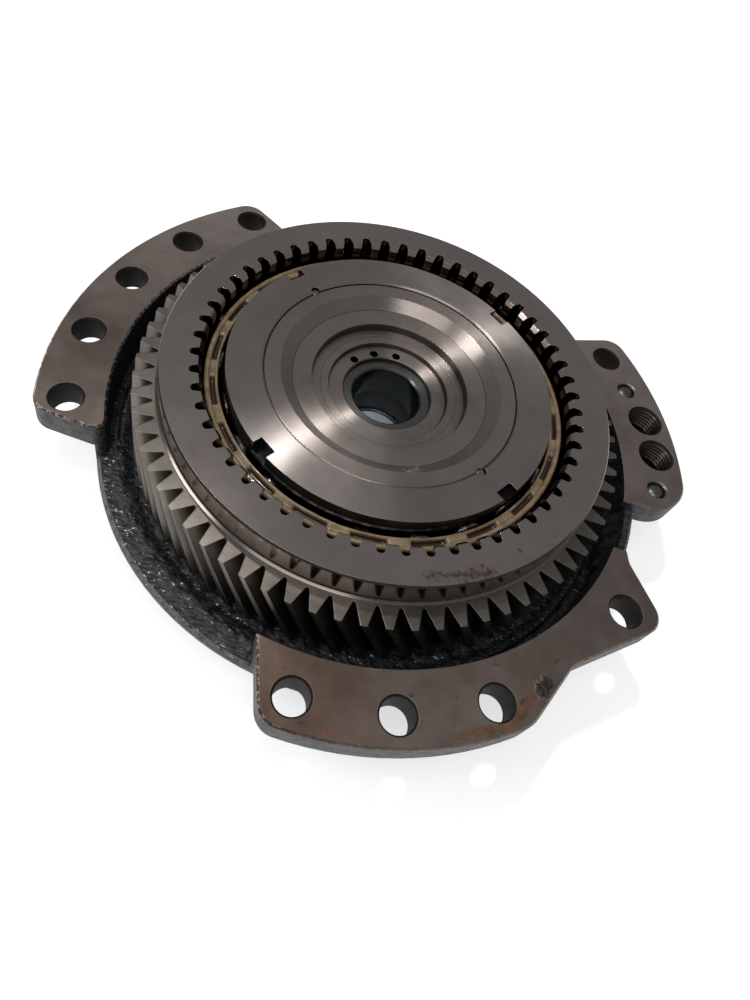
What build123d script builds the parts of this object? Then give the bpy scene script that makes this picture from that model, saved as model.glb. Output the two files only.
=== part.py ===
"""Output transfer drive of a planetary transaxle.

A helical gear with a splined coupling ring turns on a double row angular contact ball
bearing.  The bearing sits on the hub of a cast support with three bolting ears, and a
slotted lock nut holds it down.  Units are millimetres.  Z is the gear axis, and Z = 0 is
the machined foot of the support hub.
"""
from build123d import *
import math
import os

os.makedirs("parts", exist_ok=True)

# --- heights along the axis -------------------------------------------------------------
RING_TOP_Z = 48.0
GEAR_TOP_Z = 38.55
GEAR_BOTTOM_Z = 17.9
EAR_TOP_Z = 30.3
EAR_THICK = 8.4
FLANGE_TOP_Z = 16.0
RIM_BOTTOM_Z = 12.8
FLOOR_TOP_Z = 8.0
FLOOR_BOTTOM_Z = 3.0
FOOT_Z = 0.0
SEAT_Z = 9.0
NUT_BOTTOM_Z = 44.0
NUT_TOP_Z = 47.6

# --- support casting --------------------------------------------------------------------
RIM_R = 81.8
RIM_TOP_R = 80.7
EAR_IN_R = 78.2
LEFT_EAR_R = 97.7
RIGHT_EAR_R = 98.5
LOWER_EAR_R = 96.8
NECK_FOOT_R = 76.4
NECK_LAND_R = 80.4
NECK_OUT_R = 83.2
NECK_TOP_Z = 27.2
LEDGE_R = 75.4
LEDGE_Z = 13.4
POCKET_R = 66.5
HUB_R = 37.5
THREAD_R = 36.75
SEAT_R = 45.8
FOOT_R = 43.0
UNDER_R = 60.0
CORE_IN_R = 19.0
CORE_OUT_R = 31.0
CORE_DEPTH = 24.0
RIB_COUNT = 8
RIB_WIDTH = 5.0
RIB_FIRST_DEG = 12.0
RIB_BOTTOM_Z = 0.8
EAR_CHAMFER = 0.6
TAP_BOSS_Z = 16.5
TAP_BOSS_R = 8.0
GUSSET_DEGS = (144.6, 161.0, 177.4, 193.8, 19.0, 36.0, -79.9, -63.5)
GUSSET_THICK = 4.0
CORE_WEBS = 6
CORE_WEB_THICK = 5.0
CORE_FIRST_DEG = 31.0
HUB_FACE_Z = 47.0
CONE_OUT_R = 32.0
CONE_IN_R = 28.5
STEP_R = (22.5, 17.3)
STEP_Z = (44.1, 41.5, 40.0)

# --- holes in the ears, angles in degrees from +X ---------------------------------------
BOLT_PCR = 89.0
BOLT_HOLE_R = 4.5
BOLT_HOLE_EDGE = 0.5
BOLT_PITCH_DEG = 16.4
LEFT_MID_DEG = 169.2
LOWER_MID_DEG = -71.7
LOBE_HOLE_DEG = -23.9
RIGHT_HOLE_DEG = 40.4
TAP_PCR = 90.5
TAP_R = 5.2
TAP_DEPTH = 10.0
TAP_POINT = 2.6
TAP_DEGS = (14.5, 23.2)
SMALL_R = 2.95
SMALL_DEPTH = 5.0
SMALL_DEGS = (6.0, 31.4)
DOWEL_SINK = 0.7

# --- hub bore, bushes and oil ways ------------------------------------------------------
BUSH_OUT_R = 13.0
BUSH_IN_R = 10.0
BUSH_TOP_Z = 38.7
BUSH_LENGTH = 11.0
LOW_BUSH_TOP_Z = 18.0
LOW_BUSH_BOTTOM_Z = 0.0
MID_BORE_R = 11.0
OIL_R = 1.25
OIL_PCR = 14.6
OIL_DEPTH = 30.0
OIL_DEGS = (94.3, 121.4, 148.5)

# --- lock nut ---------------------------------------------------------------------------
NUT_OUT_R = 47.0
NUT_BORE_R = 36.8
SLOT_WIDTH = 5.4
SLOT_DEPTH = 2.9
NUT_CHAMFER = 0.5
SLOT_FIRST_DEG = 57.0
PIN_R = 1.3
PIN_PCR = 37.2
PIN_LENGTH = 2.6
PIN_SINK = 0.7
PIN_DEGS = (145.0, -35.0)

# --- bearing ----------------------------------------------------------------------------
BALL_COUNT = 20
BALL_R = 5.5
TRACK_R = 5.55
PITCH_R = 50.2
UPPER_ROW_Z = 33.2
LOWER_ROW_Z = 19.8
MID_Z = (UPPER_ROW_Z + LOWER_ROW_Z) / 2
INNER_SHOULDER_R = 47.4
INNER_RELIEF_R = 46.2
OUTER_SHOULDER_R = 53.2
OUTER_RELIEF_R = 54.4
OUTER_RACE_R = 59.98
OUTER_TOP_Z = 37.0
OUTER_BOTTOM_Z = 13.6
SNAP_Z = 16.2
SNAP_THICK = 1.6
SNAP_GROOVE_R = 58.6
SNAP_OUT_R = 62.6
SNAP_GAP_DEG = 90.0
SNAP_GAP = 8.0
CAGE_IN_R = 48.6
CAGE_OUT_R = 52.4
CAGE_BACK_RISE = 9.5
CAGE_BACK_THICK = 3.2
CAGE_PRONG_DROP = 1.4
CAGE_CLEAR = 0.15
RECESS_IN_R = 49.5
RECESS_OUT_R = 51.7
RECESS_DEPTH = 1.5
RECESS_DEG = 11.6
BALL_FIRST_DEG = 9.0

# --- helical gear -----------------------------------------------------------------------
GEAR_TEETH = 71
GEAR_TIP_R = 71.47
GEAR_ROOT_R = 66.24
GEAR_MID_R = 68.9
GEAR_BORE_R = 60.0
HELIX_DEG = 26.0
TIP_HALF = 0.85
MID_HALF = 1.62
ROOT_HALF = 2.42
ROOT_SAG = 0.35
GEAR_TOP_PHASE_DEG = -155.3

# --- coupling ring ----------------------------------------------------------------------
RING_OUT_R = 64.6
RING_LIP_R = 65.3
RING_LIP_THICK = 0.5
RING_TEETH = 56
RING_TIP_R = 53.1
RING_ROOT_R = 56.55
RING_GAP_FIRST_DEG = -52.88
GAP_ROOT_HALF = 1.05
GAP_TIP_HALF = 1.85
SPIGOT_R = 59.98
SPIGOT_IN_R = 57.0
TOOTH_CHAMFER = 1.0


def polar(radius, degrees):
    """Point on a circle about the gear axis."""
    angle = math.radians(degrees)
    return (radius * math.cos(angle), radius * math.sin(angle))


def offset_polar(radius, degrees, aside):
    """Point at a radius, moved sideways from a radial line by a distance."""
    return polar(radius, degrees + math.degrees(math.asin(aside / radius)))


def save(part, name):
    part.label = name
    export_step(part, f"parts/{name}.step")


def sector(inner, outer, start, end):
    """Outline of a plain ring sector."""
    with BuildLine() as outline:
        CenterArc((0, 0), outer, start, end - start)
        Line(polar(outer, end), polar(inner, end))
        CenterArc((0, 0), inner, end, start - end)
        Line(polar(inner, start), polar(outer, start))
    return outline.line


# --- ear outlines -----------------------------------------------------------------------
EAR_BOTTOM_Z = EAR_TOP_Z - EAR_THICK
CORNER_R = 6.5
INNER_CORNER_R = 3.0
# angles at the inner corner and the outer corner of each ear end, anticlockwise
LEFT_EAR_START = (128.6, 133.6)
LEFT_EAR_END = (210.5, 204.2)
RIGHT_EAR_START = (0.5, 1.8)
RIGHT_EAR_END = (49.4, 44.6)
LOWER_EAR_START = (-97.4, -91.6)
RIGHT_CORNER_R = 12.0
# the far end of the lower ear: a shoulder, a scallop, then a lobe round the last bolt hole
SHOULDER_DEG = -51.2
SCALLOP = (89.1, -39.2)
LOBE_TIP = ((98.9, -22.1), (96.6, -19.7))
LOBE_HIP = (84.2, -13.9)
LOBE_END = (82.3, -11.5)
LOBE_IN_DEG = -12.2
SHOULDER_R = 10.0
LOBE_TIP_R = 5.5
LOBE_HIP_R = 4.0
NECK_DEGS = (-13.5, 2.0)


def plain_ear(outer, start, end):
    """Closed outline of an ear with two straight ends."""
    with BuildLine() as outline:
        CenterArc((0, 0), outer, start[1], end[1] - start[1])
        Line(polar(outer, end[1]), polar(EAR_IN_R, end[0]))
        CenterArc((0, 0), EAR_IN_R, end[0], start[0] - end[0])
        Line(polar(EAR_IN_R, start[0]), polar(outer, start[1]))
    return outline.line


def round_corner(sketch, radius, degrees, fillet_r):
    """Fillets the corner of a sketch that lies nearest to a polar point."""
    corner = sketch.vertices().sort_by_distance(Vector(*polar(radius, degrees), EAR_BOTTOM_Z))[0]
    fillet(corner, fillet_r)


with BuildSketch(Plane.XY.offset(EAR_BOTTOM_Z)) as left_ear:
    with BuildLine():
        add(plain_ear(LEFT_EAR_R, LEFT_EAR_START, LEFT_EAR_END))
    make_face()
    round_corner(left_ear, LEFT_EAR_R, LEFT_EAR_START[1], CORNER_R)
    round_corner(left_ear, LEFT_EAR_R, LEFT_EAR_END[1], CORNER_R)
    round_corner(left_ear, EAR_IN_R, LEFT_EAR_END[0], INNER_CORNER_R)

with BuildSketch(Plane.XY.offset(EAR_BOTTOM_Z)) as right_ear:
    with BuildLine():
        add(plain_ear(RIGHT_EAR_R, RIGHT_EAR_START, RIGHT_EAR_END))
    make_face()
    round_corner(right_ear, RIGHT_EAR_R, RIGHT_EAR_START[1], RIGHT_CORNER_R)
    round_corner(right_ear, RIGHT_EAR_R, RIGHT_EAR_END[1], CORNER_R)

with BuildSketch(Plane.XY.offset(EAR_BOTTOM_Z)) as lower_ear:
    with BuildLine():
        CenterArc((0, 0), LOWER_EAR_R, LOWER_EAR_START[1], SHOULDER_DEG - LOWER_EAR_START[1])
        Polyline(
            polar(LOWER_EAR_R, SHOULDER_DEG),
            polar(*SCALLOP),
            polar(*LOBE_TIP[0]),
            polar(*LOBE_TIP[1]),
            polar(*LOBE_HIP),
            polar(*LOBE_END),
            polar(EAR_IN_R, LOBE_IN_DEG),
        )
        CenterArc((0, 0), EAR_IN_R, LOBE_IN_DEG, LOWER_EAR_START[0] - LOBE_IN_DEG)
        Line(polar(EAR_IN_R, LOWER_EAR_START[0]), polar(LOWER_EAR_R, LOWER_EAR_START[1]))
    make_face()
    round_corner(lower_ear, LOWER_EAR_R, LOWER_EAR_START[1], CORNER_R)
    round_corner(lower_ear, LOWER_EAR_R, SHOULDER_DEG, SHOULDER_R)
    round_corner(lower_ear, *SCALLOP, SHOULDER_R)
    round_corner(lower_ear, *LOBE_TIP[0], LOBE_TIP_R)
    round_corner(lower_ear, *LOBE_TIP[1], LOBE_TIP_R)
    round_corner(lower_ear, *LOBE_HIP, LOBE_HIP_R)

bolt_degs = [LEFT_MID_DEG + step * BOLT_PITCH_DEG for step in (-2, -1, 0, 1, 2)]
bolt_degs += [LOWER_MID_DEG + step * BOLT_PITCH_DEG for step in (-1, 0, 1)]
bolt_degs += [LOBE_HOLE_DEG, RIGHT_HOLE_DEG]

# --- support casting --------------------------------------------------------------------
with BuildPart() as support_casting:
    # dish, hub and foot turned from one profile
    with BuildSketch(Plane.XZ):
        with BuildLine():
            Polyline(
                (MID_BORE_R, FOOT_Z),
                (FOOT_R, FOOT_Z),
                (FOOT_R + 1.2, FLOOR_BOTTOM_Z),
                (UNDER_R, FLOOR_BOTTOM_Z),
                (RIM_R - 1.2, RIM_BOTTOM_Z - 1.6),
                (RIM_R, RIM_BOTTOM_Z),
                (RIM_R, FLANGE_TOP_Z - 1.6),
                (RIM_TOP_R, FLANGE_TOP_Z - 0.3),
                (RIM_TOP_R - 1.5, FLANGE_TOP_Z),
                (LEDGE_R + 0.8, FLANGE_TOP_Z),
                (LEDGE_R - 0.8, LEDGE_Z),
                (POCKET_R + 1.0, LEDGE_Z),
                (POCKET_R, LEDGE_Z - 1.0),
                (POCKET_R - 1.5, FLOOR_TOP_Z),
                (SEAT_R + 1.0, FLOOR_TOP_Z),
                (SEAT_R, SEAT_Z),
                (HUB_R, SEAT_Z),
                (HUB_R, NUT_BOTTOM_Z - 0.6),
                (THREAD_R, NUT_BOTTOM_Z),
                (THREAD_R, HUB_FACE_Z - 0.3),
                (THREAD_R - 0.4, HUB_FACE_Z),
                (CONE_OUT_R, HUB_FACE_Z),
                (CONE_IN_R, STEP_Z[0] + 0.2),
                (STEP_R[0] + 0.4, STEP_Z[0]),
                (STEP_R[0], STEP_Z[1] + 0.1),
                (STEP_R[1] + 0.4, STEP_Z[1]),
                (STEP_R[1], STEP_Z[2]),
                (BUSH_OUT_R + 0.3, STEP_Z[2]),
                (BUSH_OUT_R, STEP_Z[2] - 0.3),
                (BUSH_OUT_R, BUSH_TOP_Z - BUSH_LENGTH),
                (MID_BORE_R, BUSH_TOP_Z - BUSH_LENGTH),
                close=True,
            )
        make_face()
    revolve(axis=Axis.Z)
    # ear plates
    add(left_ear.sketch)
    add(right_ear.sketch)
    add(lower_ear.sketch)
    extrude(amount=EAR_THICK)
    # walls that carry the ears up from the dish, flush with the ears at their ends
    with BuildSketch(Plane.XY.offset(RIM_BOTTOM_Z)):
        for ear in (left_ear, right_ear, lower_ear):
            add(ear.sketch_local)
        Circle(RIM_R, mode=Mode.INTERSECT)
    extrude(amount=EAR_BOTTOM_Z - RIM_BOTTOM_Z)
    # low drafted neck between the right and lower ears
    with BuildSketch(Plane.XZ.rotated((0, 0, NECK_DEGS[0]))):
        with BuildLine():
            Polyline(
                (NECK_FOOT_R, RIM_BOTTOM_Z),
                (NECK_OUT_R, RIM_BOTTOM_Z),
                (NECK_OUT_R, NECK_TOP_Z - 1.0),
                (NECK_OUT_R - 1.0, NECK_TOP_Z),
                (NECK_LAND_R, NECK_TOP_Z),
                (NECK_FOOT_R, FLANGE_TOP_Z),
                close=True,
            )
        make_face()
    revolve(axis=Axis.Z, revolution_arc=NECK_DEGS[1] - NECK_DEGS[0])
    # machined edge round the ear tops
    ear_tops = support_casting.faces().filter_by(Axis.Z).filter_by_position(
        Axis.Z, EAR_TOP_Z - 0.01, EAR_TOP_Z + 0.01
    )
    ear_edges = ear_tops.edges().filter_by(
        lambda e: math.hypot(e.center().X, e.center().Y) > EAR_IN_R + 0.5
    )
    chamfer(ear_edges, EAR_CHAMFER)
    # bosses under the two large tapped holes
    with BuildSketch(Plane.XY.offset(TAP_BOSS_Z)):
        with Locations(*[polar(TAP_PCR - 1.5, degrees) for degrees in TAP_DEGS]):
            Circle(TAP_BOSS_R)
    extrude(amount=EAR_BOTTOM_Z - TAP_BOSS_Z + 1.0)
    # gussets under the ears, one below each gap between bolt holes
    for degrees in GUSSET_DEGS:
        with BuildSketch(Plane.XZ.rotated((0, 0, degrees))):
            with BuildLine():
                Polyline(
                    (RIM_R - 1.0, RIM_BOTTOM_Z + 0.5),
                    (LOWER_EAR_R - 4.0, EAR_BOTTOM_Z + 0.5),
                    (RIM_R - 1.0, EAR_BOTTOM_Z + 0.5),
                    close=True,
                )
            make_face()
        extrude(amount=GUSSET_THICK / 2, both=True)
    # radial ribs under the dish
    for rib in range(RIB_COUNT):
        with BuildSketch(Plane.XZ.rotated((0, 0, RIB_FIRST_DEG + rib * 360 / RIB_COUNT))):
            with BuildLine():
                Polyline(
                    (FOOT_R - 2.0, RIB_BOTTOM_Z),
                    (UNDER_R + 3.0, RIB_BOTTOM_Z),
                    (RIM_R - 3.0, RIM_BOTTOM_Z - 2.4),
                    (RIM_R - 4.0, RIM_BOTTOM_Z + 1.0),
                    (UNDER_R - 1.0, FLOOR_BOTTOM_Z + 1.5),
                    (FOOT_R - 2.0, FLOOR_BOTTOM_Z + 1.5),
                    close=True,
                )
            make_face()
        extrude(amount=RIB_WIDTH / 2, both=True)
    # cored pockets in the foot of the hub, separated by webs
    with BuildSketch(Plane.XY):
        Circle(CORE_OUT_R)
        Circle(CORE_IN_R, mode=Mode.SUBTRACT)
        with PolarLocations((CORE_IN_R + CORE_OUT_R) / 2, CORE_WEBS, start_angle=CORE_FIRST_DEG):
            Rectangle(CORE_OUT_R - CORE_IN_R + 4.0, CORE_WEB_THICK, mode=Mode.SUBTRACT)
    extrude(amount=CORE_DEPTH, mode=Mode.SUBTRACT)
    # bolt holes through the ears, with a small chamfer at the top
    with Locations(*[(*polar(BOLT_PCR, degrees), EAR_TOP_Z) for degrees in bolt_degs]):
        CounterSinkHole(BOLT_HOLE_R, BOLT_HOLE_R + BOLT_HOLE_EDGE, EAR_THICK + 1.0, counter_sink_angle=90)
    # large and small blind tapped holes in the right ear, with drill points
    with Locations(*[(*polar(TAP_PCR, degrees), EAR_TOP_Z) for degrees in TAP_DEGS]):
        CounterSinkHole(TAP_R, TAP_R + 0.7, TAP_DEPTH)
    with Locations(
        *[(*polar(TAP_PCR, degrees), EAR_TOP_Z - TAP_DEPTH - TAP_POINT / 2) for degrees in TAP_DEGS]
    ):
        Cone(0.2, TAP_R, TAP_POINT, mode=Mode.SUBTRACT)
    with Locations(*[(*polar(BOLT_PCR, degrees), EAR_TOP_Z) for degrees in SMALL_DEGS]):
        CounterSinkHole(SMALL_R, SMALL_R + 0.4, SMALL_DEPTH)
    # oil ways down through the hub
    with Locations(*[(*polar(OIL_PCR, degrees), STEP_Z[2]) for degrees in OIL_DEGS]):
        Hole(OIL_R, OIL_DEPTH)
    # bore for the lower bush, and seats for the two lock pins
    with Locations((0, 0, (LOW_BUSH_TOP_Z + LOW_BUSH_BOTTOM_Z) / 2)):
        Cylinder(BUSH_OUT_R, LOW_BUSH_TOP_Z - LOW_BUSH_BOTTOM_Z, mode=Mode.SUBTRACT)
    with Locations(*[(*polar(PIN_PCR, degrees), NUT_TOP_Z) for degrees in PIN_DEGS]):
        Hole(PIN_R, PIN_SINK + PIN_LENGTH)
save(support_casting.part, "support_casting")

# --- bushes in the hub bore -------------------------------------------------------------
with BuildPart() as upper_bush:
    with Locations((0, 0, BUSH_TOP_Z - BUSH_LENGTH / 2)):
        Cylinder(BUSH_OUT_R, BUSH_LENGTH)
        Cylinder(BUSH_IN_R, BUSH_LENGTH, mode=Mode.SUBTRACT)
    chamfer(upper_bush.edges().filter_by(GeomType.CIRCLE).sort_by(SortBy.RADIUS)[:2], 0.5)
save(upper_bush.part, "upper_bush")

with BuildPart() as lower_bush:
    with Locations((0, 0, (LOW_BUSH_TOP_Z + LOW_BUSH_BOTTOM_Z) / 2)):
        Cylinder(BUSH_OUT_R, LOW_BUSH_TOP_Z - LOW_BUSH_BOTTOM_Z)
        Cylinder(BUSH_IN_R, LOW_BUSH_TOP_Z - LOW_BUSH_BOTTOM_Z, mode=Mode.SUBTRACT)
    chamfer(lower_bush.faces().sort_by(Axis.Z)[-1].edges().sort_by(SortBy.LENGTH)[0], 0.5)
save(lower_bush.part, "lower_bush")

# --- dowels in the right ear ------------------------------------------------------------
with BuildPart() as ear_dowels:
    with BuildSketch(Plane.XY.offset(EAR_TOP_Z - SMALL_DEPTH)):
        with Locations(*[polar(BOLT_PCR, degrees) for degrees in SMALL_DEGS]):
            Circle(SMALL_R)
    extrude(amount=SMALL_DEPTH - DOWEL_SINK)
    fillet(ear_dowels.edges().group_by(Axis.Z)[-1], 0.8)
save(ear_dowels.part, "ear_dowels")

# --- lock nut and its pins --------------------------------------------------------------
with BuildPart() as lock_nut:
    with BuildSketch(Plane.XY.offset(NUT_BOTTOM_Z)):
        Circle(NUT_OUT_R)
        Circle(NUT_BORE_R, mode=Mode.SUBTRACT)
        with PolarLocations(NUT_OUT_R, 4, start_angle=SLOT_FIRST_DEG):
            Rectangle(2 * SLOT_DEPTH, SLOT_WIDTH, mode=Mode.SUBTRACT)
    extrude(amount=NUT_TOP_Z - NUT_BOTTOM_Z)
    bore_edge = lock_nut.faces().sort_by(Axis.Z)[-1].edges().filter_by(
        lambda e: e.geom_type == GeomType.CIRCLE and e.radius < NUT_BORE_R + 0.1
    )
    chamfer(bore_edge, NUT_CHAMFER)
    with Locations(*[(*polar(PIN_PCR, degrees), NUT_TOP_Z) for degrees in PIN_DEGS]):
        Hole(PIN_R, PIN_SINK + PIN_LENGTH)
save(lock_nut.part, "lock_nut")

with BuildPart() as lock_pins:
    with BuildSketch(Plane.XY.offset(NUT_TOP_Z - PIN_SINK - PIN_LENGTH)):
        with Locations(*[polar(PIN_PCR, degrees) for degrees in PIN_DEGS]):
            Circle(PIN_R)
    extrude(amount=PIN_LENGTH)
    chamfer(lock_pins.edges().group_by(Axis.Z)[-1], 0.3)
save(lock_pins.part, "lock_pins")

# --- races ------------------------------------------------------------------------------
with BuildPart() as upper_inner_race:
    with BuildSketch(Plane.XZ):
        with BuildLine():
            Polyline(
                (HUB_R, MID_Z),
                (INNER_RELIEF_R, MID_Z),
                (INNER_RELIEF_R, UPPER_ROW_Z),
                (INNER_SHOULDER_R, UPPER_ROW_Z),
                (INNER_SHOULDER_R, NUT_BOTTOM_Z - 0.5),
                (INNER_SHOULDER_R - 0.5, NUT_BOTTOM_Z),
                (HUB_R, NUT_BOTTOM_Z),
                close=True,
            )
        make_face()
        with Locations((PITCH_R, UPPER_ROW_Z)):
            Circle(TRACK_R, mode=Mode.SUBTRACT)
    revolve(axis=Axis.Z)
save(upper_inner_race.part, "upper_inner_race")

with BuildPart() as lower_inner_race:
    with BuildSketch(Plane.XZ):
        with BuildLine():
            Polyline(
                (HUB_R, SEAT_Z),
                (INNER_SHOULDER_R - 0.5, SEAT_Z),
                (INNER_SHOULDER_R, SEAT_Z + 0.5),
                (INNER_SHOULDER_R, LOWER_ROW_Z),
                (INNER_RELIEF_R, LOWER_ROW_Z),
                (INNER_RELIEF_R, MID_Z),
                (HUB_R, MID_Z),
                close=True,
            )
        make_face()
        with Locations((PITCH_R, LOWER_ROW_Z)):
            Circle(TRACK_R, mode=Mode.SUBTRACT)
    revolve(axis=Axis.Z)
save(lower_inner_race.part, "lower_inner_race")

with BuildPart() as outer_race:
    with BuildSketch(Plane.XZ):
        with BuildLine():
            Polyline(
                (OUTER_RELIEF_R, OUTER_BOTTOM_Z),
                (OUTER_RACE_R - 0.6, OUTER_BOTTOM_Z),
                (OUTER_RACE_R, OUTER_BOTTOM_Z + 0.6),
                (OUTER_RACE_R, SNAP_Z),
                (SNAP_GROOVE_R, SNAP_Z),
                (SNAP_GROOVE_R, SNAP_Z + SNAP_THICK),
                (OUTER_RACE_R, SNAP_Z + SNAP_THICK),
                (OUTER_RACE_R, OUTER_TOP_Z),
                (OUTER_RELIEF_R, OUTER_TOP_Z),
                (OUTER_RELIEF_R, UPPER_ROW_Z),
                (OUTER_SHOULDER_R, UPPER_ROW_Z),
                (OUTER_SHOULDER_R, LOWER_ROW_Z),
                (OUTER_RELIEF_R, LOWER_ROW_Z),
                close=True,
            )
        make_face()
        with Locations((PITCH_R, UPPER_ROW_Z), (PITCH_R, LOWER_ROW_Z)):
            Circle(TRACK_R, mode=Mode.SUBTRACT)
    revolve(axis=Axis.Z)
save(outer_race.part, "outer_race")

with BuildPart() as snap_ring:
    with BuildSketch(Plane.XY.offset(SNAP_Z)):
        Circle(SNAP_OUT_R)
        Circle(SNAP_GROOVE_R, mode=Mode.SUBTRACT)
        with Locations(polar((SNAP_OUT_R + SNAP_GROOVE_R) / 2, SNAP_GAP_DEG)):
            Rectangle(SNAP_GAP, SNAP_GAP, mode=Mode.SUBTRACT)
    extrude(amount=SNAP_THICK)
save(snap_ring.part, "snap_ring")

# --- cages and balls --------------------------------------------------------------------
def build_cage(row_z, upward):
    """Moulded cage for one row: a closed back with shallow recesses, and bars between balls."""
    back_z = row_z + upward * CAGE_BACK_RISE
    deep_z = back_z - upward * CAGE_BACK_THICK
    prong_z = row_z - upward * CAGE_PRONG_DROP
    with BuildPart() as cage:
        with BuildSketch(Plane.XY.offset(min(back_z, deep_z))):
            Circle(CAGE_OUT_R)
            Circle(CAGE_IN_R, mode=Mode.SUBTRACT)
        extrude(amount=CAGE_BACK_THICK)
        with BuildSketch(Plane.XY.offset(min(prong_z, deep_z))):
            Circle(CAGE_OUT_R)
            Circle(CAGE_IN_R, mode=Mode.SUBTRACT)
        extrude(amount=abs(deep_z - prong_z))
        with PolarLocations(PITCH_R, BALL_COUNT, start_angle=BALL_FIRST_DEG):
            with Locations((0, 0, row_z)):
                Sphere(BALL_R + CAGE_CLEAR, mode=Mode.SUBTRACT)
        with BuildSketch(Plane.XY.offset(back_z - RECESS_DEPTH if upward > 0 else back_z)):
            for index in range(BALL_COUNT):
                middle = BALL_FIRST_DEG + index * 360 / BALL_COUNT
                with BuildLine():
                    add(sector(RECESS_IN_R, RECESS_OUT_R, middle - RECESS_DEG / 2, middle + RECESS_DEG / 2))
                make_face()
        extrude(amount=RECESS_DEPTH, mode=Mode.SUBTRACT)
    return cage.part


save(build_cage(UPPER_ROW_Z, 1), "upper_cage")
save(build_cage(LOWER_ROW_Z, -1), "lower_cage")

for row, row_z in (("upper", UPPER_ROW_Z), ("lower", LOWER_ROW_Z)):
    for index in range(BALL_COUNT):
        centre = polar(PITCH_R, BALL_FIRST_DEG + index * 360 / BALL_COUNT)
        with BuildPart() as ball:
            with Locations((*centre, row_z)):
                Sphere(BALL_R)
        save(ball.part, f"{row}_ball_{index + 1:02d}")

# --- helical gear -----------------------------------------------------------------------
FACE_WIDTH = GEAR_TOP_Z - GEAR_BOTTOM_Z
twist = math.degrees(FACE_WIDTH * math.tan(math.radians(HELIX_DEG)) / GEAR_TIP_R)
gear_phase = GEAR_TOP_PHASE_DEG + twist
gear_pitch = 360 / GEAR_TEETH

with BuildSketch() as gear_section:
    with BuildLine():
        for tooth in range(GEAR_TEETH):
            middle = gear_phase + tooth * gear_pitch
            foot_a = offset_polar(GEAR_ROOT_R, middle, -ROOT_HALF)
            tip_a = offset_polar(GEAR_TIP_R, middle, -TIP_HALF)
            tip_b = offset_polar(GEAR_TIP_R, middle, TIP_HALF)
            foot_b = offset_polar(GEAR_ROOT_R, middle, ROOT_HALF)
            next_a = offset_polar(GEAR_ROOT_R, middle + gear_pitch, -ROOT_HALF)
            ThreePointArc(foot_a, offset_polar(GEAR_MID_R, middle, -MID_HALF), tip_a)
            ThreePointArc(tip_a, polar(GEAR_TIP_R, middle), tip_b)
            ThreePointArc(tip_b, offset_polar(GEAR_MID_R, middle, MID_HALF), foot_b)
            ThreePointArc(foot_b, polar(GEAR_ROOT_R - ROOT_SAG, middle + gear_pitch / 2), next_a)
    make_face()

with BuildPart() as transfer_gear:
    add(
        Solid.extrude_linear_with_rotation(
            gear_section.sketch.faces()[0], (0, 0, 0), (0, 0, FACE_WIDTH), -twist
        ).moved(Location((0, 0, GEAR_BOTTOM_Z)))
    )
    with Locations((0, 0, (GEAR_TOP_Z + GEAR_BOTTOM_Z) / 2)):
        Cylinder(GEAR_BORE_R, FACE_WIDTH, mode=Mode.SUBTRACT)
save(transfer_gear.part, "transfer_gear")

# --- coupling ring ----------------------------------------------------------------------
ring_pitch = 360 / RING_TEETH

with BuildPart() as coupling_ring:
    with BuildSketch(Plane.XZ):
        with BuildLine():
            Polyline(
                (RING_TIP_R, GEAR_TOP_Z),
                (SPIGOT_IN_R, GEAR_TOP_Z),
                (SPIGOT_IN_R, OUTER_TOP_Z),
                (SPIGOT_R, OUTER_TOP_Z),
                (SPIGOT_R, GEAR_TOP_Z),
                (RING_LIP_R, GEAR_TOP_Z),
                (RING_LIP_R, GEAR_TOP_Z + RING_LIP_THICK),
                (RING_OUT_R, GEAR_TOP_Z + RING_LIP_THICK + 0.4),
                (RING_OUT_R, RING_TOP_Z - 0.4),
                (RING_OUT_R - 0.4, RING_TOP_Z),
                (RING_TIP_R + TOOTH_CHAMFER, RING_TOP_Z),
                (RING_TIP_R, RING_TOP_Z - TOOTH_CHAMFER * 1.3),
                close=True,
            )
        make_face()
    revolve(axis=Axis.Z)
    # gaps between the internal teeth
    with BuildSketch(Plane.XY.offset(GEAR_TOP_Z - 0.5)):
        with BuildLine():
            for gap in range(RING_TEETH):
                middle = RING_GAP_FIRST_DEG + gap * ring_pitch
                mouth_a = offset_polar(RING_TIP_R - 0.6, middle, -GAP_TIP_HALF)
                root_a = offset_polar(RING_ROOT_R - 0.5, middle, -GAP_ROOT_HALF)
                root_b = offset_polar(RING_ROOT_R - 0.5, middle, GAP_ROOT_HALF)
                mouth_b = offset_polar(RING_TIP_R - 0.6, middle, GAP_TIP_HALF)
                next_a = offset_polar(RING_TIP_R - 0.6, middle + ring_pitch, -GAP_TIP_HALF)
                Line(mouth_a, root_a)
                ThreePointArc(root_a, polar(RING_ROOT_R, middle), root_b)
                Line(root_b, mouth_b)
                ThreePointArc(mouth_b, polar(RING_TIP_R - 0.6, middle + ring_pitch / 2), next_a)
        make_face()
    extrude(amount=RING_TOP_Z - GEAR_TOP_Z + 1.0, mode=Mode.SUBTRACT)
save(coupling_ring.part, "coupling_ring")
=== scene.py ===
"""Looks for the output transfer drive of a planetary transaxle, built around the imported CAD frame."""
import math

import bmesh
import bpy
from mathutils import Matrix, Vector, noise


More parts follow.
